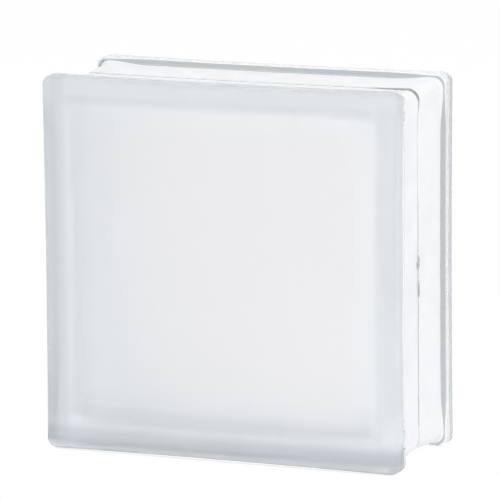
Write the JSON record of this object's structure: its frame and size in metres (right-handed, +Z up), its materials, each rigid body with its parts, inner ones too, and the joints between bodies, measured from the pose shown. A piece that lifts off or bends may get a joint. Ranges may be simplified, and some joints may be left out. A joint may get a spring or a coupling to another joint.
{
  "type": "glass block",
  "caption": "Square hollow glass block with satin faces, raised flanges round both faces, a recessed white-coated mortar channel and a fused seam round its edge.",
  "frame": {"origin": "centre of the underside, half way between the faces, at the level of the floor", "axes": "+Z up, +X to the right as the front face is seen, +Y from the front face to the back face"},
  "size_m": [0.19, 0.08, 0.19],
  "materials": {
    "glass": "satin faces, clear flange edges and seam, white coating in the edge channels"
  },
  "bodies": {
    "root": {"glass_block": "glass"}
  },
  "joints": []
}
